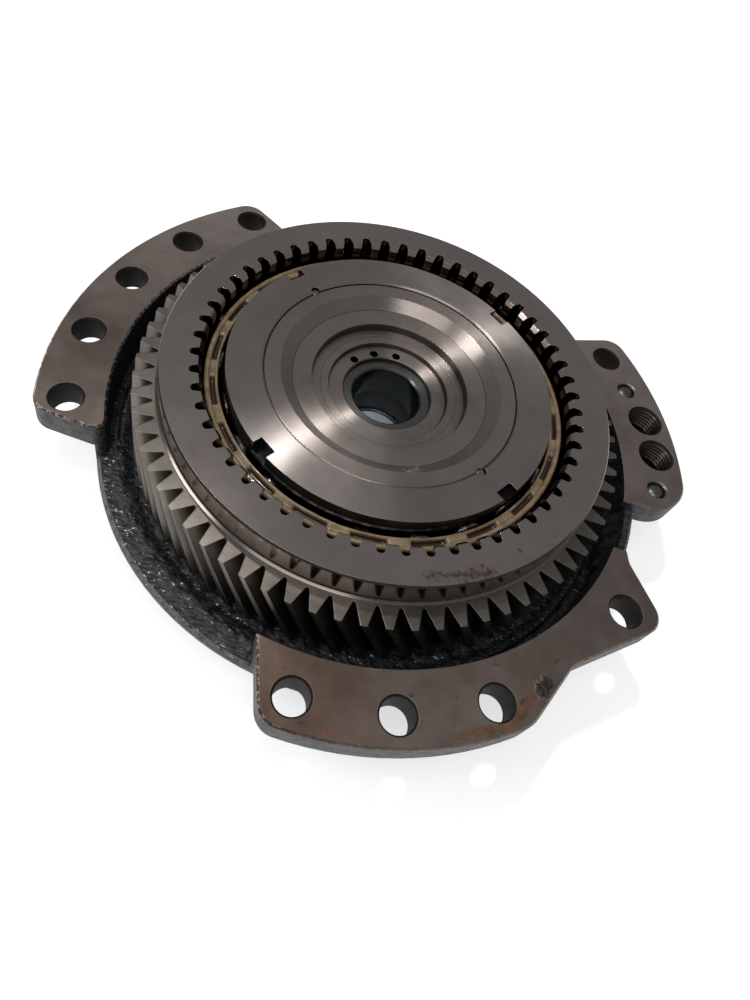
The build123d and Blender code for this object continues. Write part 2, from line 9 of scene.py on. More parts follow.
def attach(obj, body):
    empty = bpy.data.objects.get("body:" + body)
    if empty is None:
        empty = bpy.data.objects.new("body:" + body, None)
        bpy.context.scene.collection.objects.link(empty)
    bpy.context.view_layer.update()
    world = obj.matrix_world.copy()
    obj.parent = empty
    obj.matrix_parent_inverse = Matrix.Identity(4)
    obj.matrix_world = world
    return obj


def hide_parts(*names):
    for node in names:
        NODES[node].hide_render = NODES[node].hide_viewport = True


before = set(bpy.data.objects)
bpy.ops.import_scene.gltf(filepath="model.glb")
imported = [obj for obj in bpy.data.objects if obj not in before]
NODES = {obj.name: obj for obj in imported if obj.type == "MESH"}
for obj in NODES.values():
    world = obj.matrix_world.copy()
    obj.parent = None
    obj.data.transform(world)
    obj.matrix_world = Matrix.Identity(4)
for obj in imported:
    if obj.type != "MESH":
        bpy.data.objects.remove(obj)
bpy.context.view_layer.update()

MM = 0.001
MIX_A, MIX_B, MIX_RESULT = 6, 7, 2  # colour sockets of Blender's Mix node


# --- node helpers -----------------------------------------------------------------------
class Mat:
    """Small wrapper that makes a node material; its coordinates are millimetres of object space."""

    def __init__(self, name):
        self.mat = bpy.data.materials.new(name)
        self.mat.use_nodes = True
        self.tree = self.mat.node_tree
        self.bsdf = self.tree.nodes["Principled BSDF"]

    def wire(self, source, target):
        self.tree.links.new(source, target)

    def put(self, socket, value):
        """Sets a socket to a constant, or wires another socket into it."""
        if isinstance(value, (int, float)):
            socket.default_value = value
        elif isinstance(value, (tuple, list)):
            socket.default_value = tuple(value)
        else:
            self.wire(value, socket)

    def math(self, op, a, b=0.0):
        made = self.tree.nodes.new("ShaderNodeMath")
        made.operation = op
        self.put(made.inputs[0], a)
        self.put(made.inputs[1], b)
        return made.outputs[0]

    def remap(self, value, low, high, to_low=0.0, to_high=1.0, smooth=False):
        """Moves the range low to high onto to_low to to_high, clamped; low may be above high."""
        made = self.tree.nodes.new("ShaderNodeMapRange")
        made.interpolation_type = "SMOOTHSTEP" if smooth else "LINEAR"
        self.put(made.inputs["Value"], value)
        made.inputs["From Min"].default_value = low
        made.inputs["From Max"].default_value = high
        self.put(made.inputs["To Min"], to_low)
        self.put(made.inputs["To Max"], to_high)
        return made.outputs["Result"]

    def mix(self, factor, a, b):
        """Colour between a and b; each is an RGB tuple or a socket."""
        made = self.tree.nodes.new("ShaderNodeMix")
        made.data_type = "RGBA"
        self.put(made.inputs["Factor"], factor)
        for index, colour in ((MIX_A, a), (MIX_B, b)):
            self.put(made.inputs[index], (*colour, 1.0) if isinstance(colour, tuple) else colour)
        return made.outputs[MIX_RESULT]

    def most(self, *values):
        """Largest of several values."""
        top = values[0]
        for value in values[1:]:
            top = self.math("MAXIMUM", top, value)
        return top

    def both(self, *values):
        """Product of several masks."""
        product = values[0]
        for value in values[1:]:
            product = self.math("MULTIPLY", product, value)
        return product

    def place(self):
        if not hasattr(self, "_place"):
            self._place = self.tree.nodes.new("ShaderNodeTexCoord").outputs["Object"]
        return self._place

    def axes(self):
        """X, Y, Z of the object space point, in millimetres."""
        if not hasattr(self, "_axes"):
            split = self.tree.nodes.new("ShaderNodeSeparateXYZ")
            self.wire(self.place(), split.inputs[0])
            self._axes = [self.math("MULTIPLY", split.outputs[i], 1000.0) for i in range(3)]
        return self._axes

    def radius(self):
        """Distance from the gear axis, in millimetres."""
        if not hasattr(self, "_radius"):
            x, y, _ = self.axes()
            square = self.math("ADD", self.math("MULTIPLY", x, x), self.math("MULTIPLY", y, y))
            self._radius = self.math("SQRT", square)
        return self._radius

    def noise(self, scale, detail=4.0, rough=0.5, vector=None):
        made = self.tree.nodes.new("ShaderNodeTexNoise")
        made.inputs["Scale"].default_value = scale
        made.inputs["Detail"].default_value = detail
        made.inputs["Roughness"].default_value = rough
        self.wire(vector if vector is not None else self.place(), made.inputs["Vector"])
        return made.outputs["Fac"]

    def rings(self, scale, detail=2.0):
        """Noise that only changes with radius and height, as turning marks do."""
        join = self.tree.nodes.new("ShaderNodeCombineXYZ")
        self.wire(self.radius(), join.inputs[0])
        self.wire(self.axes()[2], join.inputs[1])
        made = self.tree.nodes.new("ShaderNodeTexNoise")
        made.inputs["Scale"].default_value = scale
        made.inputs["Detail"].default_value = detail
        self.wire(join.outputs[0], made.inputs["Vector"])
        return made.outputs["Fac"]

    def wave_noise(self, stretch, scale, detail=3.0, turn=0.0):
        """Noise drawn out along one axis, turned about Z; stretch is the scale of X, Y and Z."""
        made = self.tree.nodes.new("ShaderNodeMapping")
        made.inputs["Rotation"].default_value = (0.0, 0.0, turn)
        made.inputs["Scale"].default_value = stretch
        self.wire(self.place(), made.inputs["Vector"])
        return self.noise(scale, detail, 0.55, made.outputs[0])

    def spot(self, x, y, half_x, half_y, turn=0.0, ragged=0.5):
        """Soft patch round a point of the top view, in millimetres, with a ragged edge."""
        px, py, _ = self.axes()
        dx = self.math("SUBTRACT", px, x)
        dy = self.math("SUBTRACT", py, y)
        c, s = math.cos(math.radians(turn)), math.sin(math.radians(turn))
        along = self.math("ADD", self.math("MULTIPLY", dx, c), self.math("MULTIPLY", dy, s))
        aside = self.math("SUBTRACT", self.math("MULTIPLY", dy, c), self.math("MULTIPLY", dx, s))
        along = self.math("DIVIDE", along, half_x)
        aside = self.math("DIVIDE", aside, half_y)
        far = self.math("SQRT", self.math("ADD", self.math("MULTIPLY", along, along),
                                          self.math("MULTIPLY", aside, aside)))
        grain = self.math("SUBTRACT", self.noise(420.0, 5.0, 0.65), 0.5)
        rag = self.math("MULTIPLY", grain, 4.0 * ragged)
        return self.remap(self.math("ADD", far, rag), 1.15, 0.55, smooth=True)

    def soft_edge(self, radius):
        """Normal that rounds sharp edges, so that they catch light."""
        made = self.tree.nodes.new("ShaderNodeBevel")
        made.samples = 4
        made.inputs["Radius"].default_value = radius
        return made.outputs[0]

    def bump(self, height, strength=0.3, distance=0.0002, under=None):
        made = self.tree.nodes.new("ShaderNodeBump")
        made.inputs["Strength"].default_value = strength
        made.inputs["Distance"].default_value = distance
        self.wire(height, made.inputs["Height"])
        if under is not None:
            self.wire(under, made.inputs["Normal"])
        return made.outputs["Normal"]

    def radial_tangent(self):
        """Direction away from the gear axis, which follows the part as it turns."""
        x, y, _ = self.axes()
        join = self.tree.nodes.new("ShaderNodeCombineXYZ")
        self.wire(x, join.inputs[0])
        self.wire(y, join.inputs[1])
        turn = self.tree.nodes.new("ShaderNodeVectorTransform")
        turn.vector_type = "VECTOR"
        turn.convert_from = "OBJECT"
        turn.convert_to = "WORLD"
        self.wire(join.outputs[0], turn.inputs[0])
        unit = self.tree.nodes.new("ShaderNodeVectorMath")
        unit.operation = "NORMALIZE"
        self.wire(turn.outputs[0], unit.inputs[0])
        return unit.outputs[0]

    def facing_up(self, low=0.3, high=0.6):
        """1 on surfaces that face along the gear axis, 0 on upright walls."""
        split = self.tree.nodes.new("ShaderNodeSeparateXYZ")
        geometry = self.tree.nodes.new("ShaderNodeNewGeometry")
        self.wire(geometry.outputs["True Normal"], split.inputs[0])
        return self.remap(self.math("ABSOLUTE", split.outputs[2]), low, high)

    def line(self, value, at, half):
        """Thin band, 1 where value is at the given place and 0 beyond half a width from it."""
        away = self.math("ABSOLUTE", self.math("SUBTRACT", value, at))
        return self.remap(away, half, half * 0.4, smooth=True)

    def set(self, **values):
        for key, value in values.items():
            self.put(self.bsdf.inputs[key.replace("_", " ")], value)


def dress(name, mat):
    """Gives a CAD node its finish."""
    for slot in NODES[name].material_slots:
        slot.material = mat


# --- steels -----------------------------------------------------------------------------
def steel(name, low, high, rough, edge=0.00025, mottle=45.0):
    """Ground or machined steel with a mottled tone, smudges in its gloss, and soft edges."""
    m = Mat(name)
    blot = m.noise(mottle, 6.0, 0.62)
    fine = m.noise(620.0, 3.0, 0.6)
    tone = m.math("ADD", m.math("MULTIPLY", blot, 0.75), m.math("MULTIPLY", fine, 0.25))
    m.tone = m.mix(m.remap(tone, 0.36, 0.64), low, high)
    m.gloss = m.remap(m.noise(80.0, 5.0, 0.6), 0.3, 0.7, rough - 0.05, rough + 0.07)
    m.edges = m.soft_edge(edge)
    m.set(Base_Color=m.tone, Metallic=1.0, Roughness=m.gloss)
    return m


def turned(name, low, high, rough, aniso, band=0.04):
    """Lathe-turned steel: fine rings round the axis that draw a light out into two fans."""
    m = steel(name, low, high, rough)
    shade = m.remap(m.rings(1.1, 4.0), 0.35, 0.65, 1.0 - band, 1.0 + band)
    scaled = m.tree.nodes.new("ShaderNodeVectorMath")
    scaled.operation = "SCALE"
    m.wire(m.tone, scaled.inputs[0])
    m.wire(shade, scaled.inputs["Scale"])
    m.set(Base_Color=scaled.outputs[0], Anisotropic=aniso)
    m.wire(m.radial_tangent(), m.bsdf.inputs["Tangent"])
    grooves = m.bump(m.rings(5.0, 3.0), 0.10, 0.00003, m.edges)
    m.wire(grooves, m.bsdf.inputs["Normal"])
    return m


def nut_finish():
    """Turned lock nut, its upright walls and slots painted dark as shade."""
    m = turned("nut_steel", (0.37, 0.325, 0.30), (0.44, 0.39, 0.36), 0.31, 0.95)
    # painted shade: faces that do not face along the axis take a near-black colour
    flat = m.facing_up(0.3, 0.6)
    m.set(Base_Color=m.mix(flat, (0.05, 0.05, 0.05), m.tone))
    return m.mat


# painted shade lines in the hub's corners and at the gap to the nut: radius, half width
HUB_SHADE_LINES = ((36.9, 0.34), (28.4, 0.2), (22.6, 0.25), (17.4, 0.25), (20.0, 0.12))


def hub_finish():
    """Turned hub: flats light, slopes and steps darker as painted shade, painted shade lines in the
    corners, a brown smear of dirt on the inner steps, and a bore painted black as shade.
    """
    m = turned("hub_steel", (0.385, 0.333, 0.30), (0.46, 0.405, 0.368), 0.29, 0.95, 0.05)
    # painted shade: slopes and steps darker than the flats, by how far they turn from the axis
    shade = m.mix(m.facing_up(0.25, 0.99), (0.17, 0.146, 0.132), m.tone)
    # painted shade: thin dark lines at the listed radii
    corner_shade = 0.0
    for at, half in HUB_SHADE_LINES:
        corner_shade = m.most(corner_shade, m.line(m.radius(), at, half))
    shade = m.mix(m.math("MULTIPLY", corner_shade, 0.62), shade, (0.06, 0.052, 0.046))
    smear = m.both(m.remap(m.noise(60.0, 5.0, 0.65), 0.5, 0.68), m.remap(m.radius(), 29.0, 24.0))
    shade = m.mix(m.math("MULTIPLY", smear, 0.35), shade, (0.16, 0.10, 0.075))
    # painted shade: the bore inside 13.4 mm is nearly black
    bore_shade = m.remap(m.radius(), 13.4, 12.8)
    m.set(Base_Color=m.mix(bore_shade, shade, (0.03, 0.031, 0.033)))
    return m.mat


def bush_finish():
    """Bearing bush: its rim grey, its bore painted nearly black as shade, under an oily coat."""
    m = turned("bush_steel", (0.13, 0.13, 0.122), (0.18, 0.18, 0.168), 0.30, 0.7)
    # painted shade: faces that do not face along the axis, the bore, are nearly black
    m.set(Base_Color=m.mix(m.facing_up(0.5, 0.9), (0.022, 0.024, 0.026), m.tone), Coat_Weight=0.6)
    return m.mat


# rust marks on the ring: x, y, half length, half width, turn in degrees, raggedness
RING_RUST = ((35.0, -51.9, 5.8, 2.1, 30.0, 0.9), (24.6, -56.0, 2.6, 1.6, 22.0, 0.9),
             (29.6, -54.2, 3.0, 0.9, 25.0, 1.0), (44.3, -41.2, 0.9, 0.7, 0.0, 0.5))


def ring_finish():
    """Ground face with a satin grain, a few rust marks, and painted shade on the outer chamfer, the low
    outer wall and the tooth walls.
    """
    m = steel("ring_steel", (0.375, 0.322, 0.298), (0.445, 0.388, 0.36), 0.18, 0.00012)
    up = m.facing_up()
    rust = m.most(*(m.spot(*mark) for mark in RING_RUST))
    rust = m.both(rust, up, m.remap(m.noise(800.0, 4.0, 0.7), 0.38, 0.56))
    shade = m.mix(m.math("MULTIPLY", rust, 0.75), m.tone, (0.15, 0.055, 0.034))
    sloped = m.remap(m.facing_up(0.78, 0.95), 1.0, 0.0)
    upright = m.remap(m.facing_up(0.25, 0.5), 1.0, 0.0)
    z = m.axes()[2]
    # painted shade: the outer chamfer is darkened
    outer_edge = m.both(sloped, m.remap(m.radius(), 62.5, 63.5), m.remap(z, 47.0, 47.4))
    shade = m.mix(outer_edge, shade, (0.10, 0.088, 0.08))
    # painted shade: the low outer wall is darkened
    low_wall = m.both(m.remap(m.radius(), 66.0, 64.5), m.remap(z, 46.8, 40.0))
    shade = m.mix(m.math("MULTIPLY", low_wall, 0.75), shade, (0.065, 0.055, 0.046))
    # painted shade: the tooth walls inside 58 mm are nearly black
    tooth_wall_shade = m.both(m.remap(m.radius(), 58.0, 57.2), upright)
    m.set(Base_Color=m.mix(m.math("MULTIPLY", tooth_wall_shade, 0.9), shade, (0.05, 0.048, 0.043)))
    polish = m.mix(up, (0.13, 0.13, 0.13), (0.17, 0.17, 0.17))
    m.set(Roughness=m.math("ADD", m.math("MULTIPLY", m.gloss, 0.25), m.math("MULTIPLY", polish, 0.75)))
    m.wire(m.bump(m.noise(2600.0, 3.0), 0.06, 0.00003, m.edges), m.bsdf.inputs["Normal"])
    return m.mat


def gear_finish():
    """Oiled gear steel with cutter marks on the end faces, and painted shade in the roots and on the lower
    flanks.
    """
    m = steel("gear_steel", (0.165, 0.147, 0.126), (0.25, 0.223, 0.192), 0.34, 0.0003, 70.0)
    # painted shade: roots and lower flanks darker, faces along the axis lighter
    root = m.remap(m.radius(), 66.0, 70.8, smooth=True)
    low = m.remap(m.axes()[2], 17.0, 30.0, smooth=True)
    unshaded = m.math("MULTIPLY", root, m.math("ADD", m.math("MULTIPLY", low, 0.6), 0.4))
    unshaded = m.math("MAXIMUM", unshaded, m.math("MULTIPLY", m.facing_up(), 0.85))
    m.set(Base_Color=m.mix(unshaded, (0.045, 0.041, 0.035), m.tone), Coat_Weight=0.5, Coat_Roughness=0.10)
    m.wire(m.bump(m.rings(4.0, 3.0), 0.18, 0.00004, m.edges), m.bsdf.inputs["Normal"])
    return m.mat


def black_race_finish():
    """Hardened race coloured near black, under a clear glossy coat."""
    m = steel("race_steel", (0.035, 0.035, 0.036), (0.07, 0.07, 0.07), 0.16, 0.0003)
    m.set(Coat_Weight=1.0, Coat_Roughness=0.04)
    m.wire(m.edges, m.bsdf.inputs["Normal"])
    return m.mat


def plain_steel(name, low, high, rough):
    m = steel(name, low, high, rough)
    m.wire(m.bump(m.noise(1500.0, 3.0), 0.15, 0.00004, m.edges), m.bsdf.inputs["Normal"])
    return m.mat


# --- castings and plastic ---------------------------------------------------------------
SCORE_TURN = math.radians(28.0)  # direction of the scores on the cast skin


def cast_finish():
    """Oily sand-cast iron: lumps, fine drawn-out scratches, bright sparkles that are painted glints,
    upright sides in a painted shade tone, and a pale rim band that is partly wear and partly a painted
    highlight.
    """
    m = Mat("cast_iron")
    z = m.axes()[2]
    lumps = m.noise(330.0, 6.0, 0.68)
    streak = m.wave_noise((0.22, 1.0, 1.0), 1700.0, 4.0, SCORE_TURN)
    sand = m.noise(1900.0, 3.0, 0.6)
    tone = m.math("ADD", m.math("MULTIPLY", lumps, 0.35), m.math("MULTIPLY", streak, 0.65))
    open_top = m.both(m.facing_up(0.45, 0.75), m.remap(z, 18.5, 17.5))
    glint = m.wave_noise((0.30, 1.0, 1.0), 1500.0, 3.0, SCORE_TURN)
    # painted glints: bright flecks on the open tops stand in for sparkle highlights
    painted_sparkle = m.remap(m.math("MULTIPLY", glint, m.noise(1000.0, 3.0, 0.7)), 0.345, 0.385)
    painted_sparkle = m.both(painted_sparkle, open_top)
    skin = m.mix(m.remap(tone, 0.44, 0.57), (0.005, 0.006, 0.008), (0.062, 0.066, 0.070))
    # painted shade: upright ear and rim sides take their own lumpy tone instead of the skin's
    lumpy = m.remap(m.noise(420.0, 5.0, 0.65), 0.38, 0.62)
    side = m.mix(lumpy, (0.022, 0.022, 0.021), (0.085, 0.084, 0.08))
    rim_side = m.both(m.remap(m.radius(), 80.9, 81.5), m.remap(z, 16.6, 16.0))
    shaded_side = m.most(m.remap(m.radius(), 83.6, 84.4), rim_side)
    shaded_side = m.both(shaded_side, m.remap(m.facing_up(0.5, 0.8), 1.0, 0.0))
    skin = m.mix(shaded_side, skin, side)
    # partly wear, partly painted highlight: a pale broken band along the rim edge
    rim_wear_and_highlight = m.both(m.line(m.radius(), 81.2, 0.7), m.remap(z, 16.8, 16.2))
    rim_wear_and_highlight = m.both(rim_wear_and_highlight, m.remap(m.noise(700.0, 4.0, 0.7), 0.36, 0.5))
    skin = m.mix(rim_wear_and_highlight, skin, (0.15, 0.152, 0.146))
    m.set(Base_Color=m.mix(painted_sparkle, skin, (0.62, 0.63, 0.65)))
    m.set(Metallic=m.remap(painted_sparkle, 0.0, 1.0, 0.3, 1.0))
    m.set(Roughness=m.remap(sand, 0.3, 0.7, 0.42, 0.62))
    height = m.math("ADD", m.math("MULTIPLY", lumps, 0.35), streak)
    height = m.math("ADD", height, m.math("MULTIPLY", sand, 0.25))
    m.wire(m.bump(height, 0.8, 0.0003, m.soft_edge(0.0006)), m.bsdf.inputs["Normal"])
    return m.mat


# marks on the ear tops: x, y, half length, half width, turn in degrees, raggedness
EAR_RUST = ((56.6, -73.5, 9.0, 2.2, 60.0, 0.35), (47.5, -81.5, 8.0, 1.5, 30.0, 0.45),
            (12.5, -94.5, 2.4, 1.2, 10.0, 0.5))
EAR_PIT = (61.8, -65.0, 3.2, 2.3, 70.0, 0.55)
EAR_STAINS = ((48.5, -64.0, 1.6, 0.4, 15.0, 0.5), (64.0, -57.5, 1.4, 0.6, 60.0, 0.6))


def milled_finish():
    """Milled ear tops: satin brown-grey, darker on the near side as painted shade, with a painted shadow at
    the left, rust, a pit, and bright edges that are partly chips and partly painted highlight.
    """
    m = steel("milled_iron", (0.33, 0.27, 0.24), (0.44, 0.38, 0.345), 0.36, 0.0003, 60.0)
    x, y, _ = m.axes()
    # painted shade: the ear tops darken towards the near side
    cloud = m.remap(m.noise(60.0, 6.0, 0.62), 0.36, 0.64)
    near_shade = m.mix(cloud, (0.20, 0.155, 0.132), (0.29, 0.238, 0.207))
    base = m.mix(m.remap(y, 55.0, -15.0), m.tone, near_shade)
    cloud = m.remap(m.noise(50.0, 6.0, 0.62), 0.36, 0.64)
    shadow = m.mix(cloud, (0.135, 0.106, 0.092), (0.20, 0.163, 0.143))
    base = m.mix(m.both(m.remap(x, -55.0, -75.0), m.remap(y, 32.0, -8.0)), base, shadow)
    cloud = m.remap(m.noise(55.0, 6.0, 0.6), 0.35, 0.65)
    brown = m.mix(cloud, (0.098, 0.062, 0.046), (0.165, 0.118, 0.092))
    base = m.mix(m.both(m.remap(y, -58.0, -80.0), m.remap(x, 45.0, 8.0)), base, brown)

    rust = m.most(*(m.spot(*mark) for mark in EAR_RUST))
    cloud = m.remap(m.noise(300.0, 5.0, 0.65), 0.35, 0.62)
    orange = m.mix(cloud, (0.08, 0.035, 0.018), (0.19, 0.09, 0.042))
    base = m.mix(m.math("MULTIPLY", rust, 0.85), base, orange)

    pit = m.spot(*EAR_PIT)
    stain = m.most(*(m.spot(*mark) for mark in EAR_STAINS))
    specks = m.both(m.remap(m.noise(260.0, 2.0, 0.5), 0.70, 0.74), m.remap(y, -20.0, -50.0))
    dirt = m.most(pit, m.math("MULTIPLY", stain, 0.55), m.math("MULTIPLY", specks, 0.6))
    soil = m.mix(m.noise(900.0, 4.0, 0.7), (0.008, 0.006, 0.005), (0.045, 0.033, 0.027))
    base = m.mix(dirt, base, soil)

    # partly chips, partly painted highlight: bright ticks on the edges, strongest at the left
    ticks = m.remap(m.noise(900.0, 2.0, 0.6), 0.50, 0.58)
    chip_and_glint = m.both(m.remap(m.facing_up(0.80, 0.95), 1.0, 0.0), ticks, m.remap(x, 5.0, -12.0, 0.12, 0.9))
    m.set(Base_Color=m.mix(chip_and_glint, base, (0.62, 0.61, 0.58)))
    m.set(Metallic=m.remap(m.most(rust, dirt), 0.0, 1.0, 0.95, 0.3))
    drawn = m.wave_noise((1.0, 0.12, 1.0), 900.0)
    grain = m.math("ADD", m.noise(2400.0, 3.0), m.math("MULTIPLY", drawn, 0.6))
    fine = m.bump(grain, 0.14, 0.00004, m.edges)
    rough = m.bump(m.both(pit, m.noise(1100.0, 4.0)), 0.9, 0.0006, fine)
    m.wire(rough, m.bsdf.inputs["Normal"])
    return m.mat


def cage_finish():
    """Amber moulded plastic under oil, with painted shade that makes it dark brown down in its recesses and
    outside the balls.
    """
    m = Mat("cage_plastic")
    z = m.axes()[2]
    # painted shade: below the crown top the plastic turns dark brown
    high = m.remap(z, 41.3, 42.5, smooth=True)
    cloud = m.noise(260.0, 5.0, 0.6)
    crown = m.mix(m.remap(cloud, 0.35, 0.65), (0.24, 0.16, 0.09), (0.40, 0.295, 0.18))
    m.set(Base_Color=m.mix(high, (0.035, 0.018, 0.009), crown))
    m.set(Roughness=m.remap(m.noise(500.0), 0.3, 0.7, 0.16, 0.28), Coat_Weight=0.5, Coat_Roughness=0.03)
    m.wire(m.bump(m.noise(700.0, 3.0), 0.16, 0.0001, m.soft_edge(0.0002)), m.bsdf.inputs["Normal"])
    return m.mat


dress("transfer_gear", gear_finish())
dress("coupling_ring", ring_finish())
dress("lock_nut", nut_finish())
pin_steel = plain_steel("pin_steel", (0.20, 0.19, 0.18), (0.34, 0.33, 0.32), 0.3)
for part in ("lock_pins", "ear_dowels"):
    dress(part, pin_steel)
dress("upper_bush", bush_finish())
# the lower bush's pale blue-grey tone is painted light seen at the bottom of the bore
dress("lower_bush", plain_steel("lower_bush_steel", (0.20, 0.235, 0.25), (0.30, 0.34, 0.36), 0.25))
race_steel = black_race_finish()
for part in ("upper_inner_race", "lower_inner_race", "outer_race"):
    dress(part, race_steel)
dress("snap_ring", plain_steel("spring_steel", (0.12, 0.12, 0.12), (0.18, 0.18, 0.18), 0.32))
cage_plastic = cage_finish()
dress("lower_cage", cage_plastic)
ball_steel = plain_steel("ball_steel", (0.58, 0.58, 0.58), (0.66, 0.66, 0.66), 0.12)
for part in NODES:
    if "_ball_" in part:
        dress(part, ball_steel)


# --- the casting, with a finish for each kind of surface ---------------------------------
CAST, MILLED, TURNED, DRILLED = range(4)
EAR_TOP, EAR_LOW = 30.3 * MM, 18.0 * MM
EAR_EDGE = 0.7 * MM  # how far the milled finish reaches down an ear's edge
EAR_INNER_R = 78.2 * MM
HUB_R = 37.8 * MM
HUB_FACE_LOW = 38.0 * MM
BORE_WALL_R = 19.0 * MM
FOOT_FACE = 0.5 * MM
BOLT_CIRCLE_R = 89.0 * MM
BOLT_STEP_DEG = 16.4
BOLT_DEGS = [169.2 + BOLT_STEP_DEG * step for step in (-2, -1, 0, 1, 2)]
BOLT_DEGS += [-71.7 + BOLT_STEP_DEG * step for step in (-1, 0, 1)] + [-23.9, 40.4]
TAP_CIRCLE_R = 90.5 * MM
TAP_DEGS = (14.5, 23.2)
DOWEL_DEGS = (6.0, 31.4)
DRILLED_R = 6.2 * MM  # a face nearer than this to a hole's centre belongs to the hole


def polar(radius, degrees, z=0.0):
    angle = math.radians(degrees)
    return Vector((radius * math.cos(angle), radius * math.sin(angle), z))


hole_centres = [polar(BOLT_CIRCLE_R, d) for d in BOLT_DEGS] + [polar(TAP_CIRCLE_R, d) for d in TAP_DEGS]


def surface_kind(centre, normal):
    """Which finish a face takes, from its middle and its direction."""
    radius = math.hypot(centre.x, centre.y)
    if radius < HUB_R and (centre.z > HUB_FACE_LOW or radius < BORE_WALL_R or centre.z < FOOT_FACE):
        return TURNED
    in_hole = min((centre.xy - hole.xy).length for hole in hole_centres) < DRILLED_R
    if radius > EAR_INNER_R - MM and centre.z > EAR_TOP - EAR_EDGE and normal.z > 0.5:
        return DRILLED if in_hole and normal.z < 0.95 else MILLED
    if radius > EAR_INNER_R and centre.z > EAR_LOW and in_hole:
        return DRILLED
    return CAST


casting = bpy.data.objects.new("support_body", NODES["support_casting"].data.copy())
bpy.context.collection.objects.link(casting)
casting.data.materials.clear()
drilled = Mat("drilled_iron")
# painted shade: hole walls are nearly black
hole_shade = drilled.mix(drilled.noise(400.0, 4.0), (0.008, 0.007, 0.006), (0.026, 0.022, 0.019))
drilled.set(Base_Color=hole_shade, Metallic=0.0, Roughness=0.6, Specular_IOR_Level=0.2)
for finish in (cast_finish(), milled_finish(), hub_finish(), drilled.mat):  # in the order of the kinds
    casting.data.materials.append(finish)
for face in casting.data.polygons:
    face.material_index = surface_kind(face.center, face.normal)
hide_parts("support_casting")
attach(casting, "support")


# --- shaped pieces ----------------------------------------------------------------------
def solid_of_rings(name, sections, closed=True):
    """Mesh from a list of equal-length point loops, each loop one section along the piece."""
    count, size = len(sections), len(sections[0])
    points = [point for section in sections for point in section]
    faces = []
    for i in range(count if closed else count - 1):
        here, there = i * size, ((i + 1) % count) * size
        faces += [(here + j, there + j, there + (j + 1) % size, here + (j + 1) % size) for j in range(size)]
    if not closed:
        faces.append(tuple(range(size - 1, -1, -1)))
        faces.append(tuple((count - 1) * size + j for j in range(size)))
    mesh = bpy.data.meshes.new(name)
    mesh.from_pydata(points, [], faces)
    built = bmesh.new()
    built.from_mesh(mesh)
    bmesh.ops.recalc_face_normals(built, faces=built.faces)
    built.to_mesh(mesh)
    built.free()
    piece = bpy.data.objects.new(name, mesh)
    bpy.context.collection.objects.link(piece)
    return piece


def smoothstep(low, high, value):
    t = min(max((value - low) / (high - low), 0.0), 1.0)
    return t * t * (3.0 - 2.0 * t)


CAGE_IN_R, CAGE_OUT_R = 48.6, 52.4
CAGE_TOP_Z, CAGE_LOW_Z = 42.7, 39.5
CAGE_BAND = 0.8  # radius of the rounded outer band of the crown
BALLS = 20
BALL_PITCH_DEG = 18.0
CAGE_STEPS = 36
BLOCK_DEG = 6.2  # width of the filled block between two recesses
# sections of a bar between two balls: height, half angle
BAR_LOOPS = ((39.9, 8.4), (38.6, 5.2), (37.0, 3.6), (35.3, 3.0), (33.6, 2.9), (32.1, 3.1))


def cage_section(degrees):
    """Cross-section of the upper cage: thin inner rim, recess or block, rounded outer band."""
    beside = abs((degrees + BALL_PITCH_DEG / 2) % BALL_PITCH_DEG - BALL_PITCH_DEG / 2)
    block = 1.0 - smoothstep(BLOCK_DEG / 2 + 0.1, BLOCK_DEG / 2 + 1.1, beside)
    floor_z = CAGE_TOP_Z - 1.9 + 1.55 * block
    profile = [(CAGE_IN_R, CAGE_LOW_Z), (CAGE_IN_R, CAGE_TOP_Z - 0.45)]
    profile += [(CAGE_IN_R + 0.14, CAGE_TOP_Z - 0.15), (CAGE_IN_R + 0.38, CAGE_TOP_Z)]
    profile += [(CAGE_IN_R + 0.66, CAGE_TOP_Z - 0.12)]
    profile += [(CAGE_IN_R + 0.82, CAGE_TOP_Z - 0.45), (CAGE_IN_R + 0.9, floor_z + 0.1)]
    profile += [(CAGE_IN_R + 1.3, floor_z), (CAGE_IN_R + 1.75, floor_z), (CAGE_IN_R + 2.05, floor_z + 0.15)]
    for step in range(9):
        turn = math.pi * (1.0 - step / 8.0)
        profile.append((CAGE_OUT_R - CAGE_BAND + CAGE_BAND * math.cos(turn),
                        CAGE_TOP_Z - CAGE_BAND + CAGE_BAND * math.sin(turn)))
    profile += [(CAGE_OUT_R, CAGE_LOW_Z + 0.6), (CAGE_OUT_R - 0.35, CAGE_LOW_Z)]
    return profile


def cage_body():
    """Crown of the upper cage as one closed ring."""
    sections = []
    for step in range(BALLS * CAGE_STEPS):
        degrees = step * 360.0 / (BALLS * CAGE_STEPS)
        sections.append([polar(r * MM, degrees, z * MM) for r, z in cage_section(degrees)])
    return solid_of_rings("cage_crown", sections)


def cage_bar(index):
    """Hourglass bar that parts two balls, from the crown down past their middle."""
    middle = index * BALL_PITCH_DEG
    loops = []
    for z, half_deg in BAR_LOOPS:
        corners = [(-half_deg, CAGE_IN_R + 0.1), (-half_deg * 0.86, CAGE_OUT_R - 0.15)]
        corners += [(0.0, CAGE_OUT_R - 0.05), (half_deg * 0.86, CAGE_OUT_R - 0.15)]
        corners += [(half_deg, CAGE_IN_R + 0.1), (0.0, CAGE_IN_R + 0.05)]
        loops.append([polar(r * MM, middle + d, z * MM) for d, r in corners])
    return solid_of_rings("cage_bar_%02d" % (index + 1), loops, closed=False)


cage_pieces = [cage_body()] + [cage_bar(index) for index in range(BALLS)]
for piece in cage_pieces:
    for face in piece.data.polygons:
        face.use_smooth = True
    piece.data.materials.append(cage_plastic)
    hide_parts("upper_cage")
    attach(piece, "upper_row")


